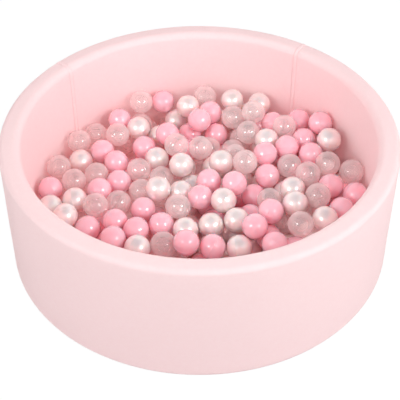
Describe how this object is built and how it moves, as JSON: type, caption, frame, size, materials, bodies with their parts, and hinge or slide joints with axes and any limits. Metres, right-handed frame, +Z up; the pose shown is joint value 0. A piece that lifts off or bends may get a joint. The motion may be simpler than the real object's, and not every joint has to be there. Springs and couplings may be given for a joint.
{
  "type": "ball pit",
  "caption": "Round play pit with an upright padded foam wall in a zipped pink jersey cover, filled with loose hollow play balls in pink, pearl and clear.",
  "frame": {"origin": "centre of the round base, on the surface it stands on", "axes": "+Z up through the middle of the pit; the zipped short panel of the cover is on the +Y side, which is the back"},
  "size_m": [0.9, 0.9022, 0.3153],
  "materials": {
    "jersey": "soft cotton jersey",
    "foam": "open-cell foam",
    "zip_tape": "woven tape",
    "zip_teeth": "moulded coil",
    "zip_metal": "satin paint",
    "pink_ball": "glossy",
    "pearl_ball": "pearly",
    "clear_ball": "clear"
  },
  "bodies": {
    "root": {"base_pad": "foam", "clear_balls_01": "clear_ball", "clear_balls_02": "clear_ball", "clear_balls_03": "clear_ball", "clear_balls_04": "clear_ball", "clear_balls_05": "clear_ball", "clear_balls_06": "clear_ball", "clear_balls_07": "clear_ball", "clear_balls_08": "clear_ball", "clear_balls_09": "clear_ball", "clear_balls_10": "clear_ball", "cover_base": "jersey", "cover_floor": "jersey", "cover_strip_below_zip": "jersey", "cover_wall_long": "jersey", "cover_wall_short": "jersey", "foam_wall_long": "foam", "foam_wall_short": "foam", "pearl_balls_01": "pearl_ball", "pearl_balls_02": "pearl_ball", "pearl_balls_03": "pearl_ball", "pearl_balls_04": "pearl_ball", "pearl_balls_05": "pearl_ball", "pearl_balls_06": "pearl_ball", "pearl_balls_07": "pearl_ball", "pearl_balls_08": "pearl_ball", "pearl_balls_09": "pearl_ball", "pearl_balls_10": "pearl_ball", "pearl_balls_11": "pearl_ball", "pearl_balls_12": "pearl_ball", "pearl_balls_13": "pearl_ball", "pink_balls_01": "pink_ball", "pink_balls_02": "pink_ball", "pink_balls_03": "pink_ball", "pink_balls_04": "pink_ball", "pink_balls_05": "pink_ball", "pink_balls_06": "pink_ball", "pink_balls_07": "pink_ball", "pink_balls_08": "pink_ball", "pink_balls_09": "pink_ball", "pink_balls_10": "pink_ball", "zip_stop_left": "zip_metal", "zip_stop_right": "zip_metal", "zip_tape_lower": "zip_tape", "zip_tape_upper": "zip_tape", "zip_teeth_lower": "zip_teeth", "zip_teeth_upper": "zip_teeth"},
    "zip_slider": {"zip_slider": "zip_metal"},
    "zip_pull": {"zip_pull": "zip_metal"},
    "loose_clear_ball_1": {"loose_clear_ball_1": "clear_ball"},
    "loose_clear_ball_2": {"loose_clear_ball_2": "clear_ball"},
    "loose_clear_ball_3": {"loose_clear_ball_3": "clear_ball"},
    "loose_pearl_ball_1": {"loose_pearl_ball_1": "pearl_ball"},
    "loose_pearl_ball_2": {"loose_pearl_ball_2": "pearl_ball"},
    "loose_pearl_ball_3": {"loose_pearl_ball_3": "pearl_ball"},
    "loose_pink_ball_1": {"loose_pink_ball_1": "pink_ball"},
    "loose_pink_ball_2": {"loose_pink_ball_2": "pink_ball"},
    "loose_pink_ball_3": {"loose_pink_ball_3": "pink_ball"}
  },
  "joints": [
    {"name": "zip_slider_run", "type": "hinge", "parent": "root", "child": "zip_slider", "pos_m": [0, 0, 0.029], "axis": [0, 0, 1], "range_deg": [0, 79]},
    {"name": "zip_pull_swing", "type": "hinge", "parent": "zip_slider", "child": "zip_pull", "pos_m": [0.24321, 0.38472, 0.029], "axis": [0, 0, 1], "range_deg": [-170, 0]},
    {"name": "loose_clear_ball_1_lift", "type": "slide", "parent": "root", "child": "loose_clear_ball_1", "axis": [0, 0, 1], "range_m": [0, 0.26]},
    {"name": "loose_clear_ball_2_lift", "type": "slide", "parent": "root", "child": "loose_clear_ball_2", "axis": [0, 0, 1], "range_m": [0, 0.26]},
    {"name": "loose_clear_ball_3_lift", "type": "slide", "parent": "root", "child": "loose_clear_ball_3", "axis": [0, 0, 1], "range_m": [0, 0.26]},
    {"name": "loose_pearl_ball_1_lift", "type": "slide", "parent": "root", "child": "loose_pearl_ball_1", "axis": [0, 0, 1], "range_m": [0, 0.26]},
    {"name": "loose_pearl_ball_2_lift", "type": "slide", "parent": "root", "child": "loose_pearl_ball_2", "axis": [0, 0, 1], "range_m": [0, 0.26]},
    {"name": "loose_pearl_ball_3_lift", "type": "slide", "parent": "root", "child": "loose_pearl_ball_3", "axis": [0, 0, 1], "range_m": [0, 0.26]},
    {"name": "loose_pink_ball_1_lift", "type": "slide", "parent": "root", "child": "loose_pink_ball_1", "axis": [0, 0, 1], "range_m": [0, 0.26]},
    {"name": "loose_pink_ball_2_lift", "type": "slide", "parent": "root", "child": "loose_pink_ball_2", "axis": [0, 0, 1], "range_m": [0, 0.26]},
    {"name": "loose_pink_ball_3_lift", "type": "slide", "parent": "root", "child": "loose_pink_ball_3", "axis": [0, 0, 1], "range_m": [0, 0.26]}
  ]
}
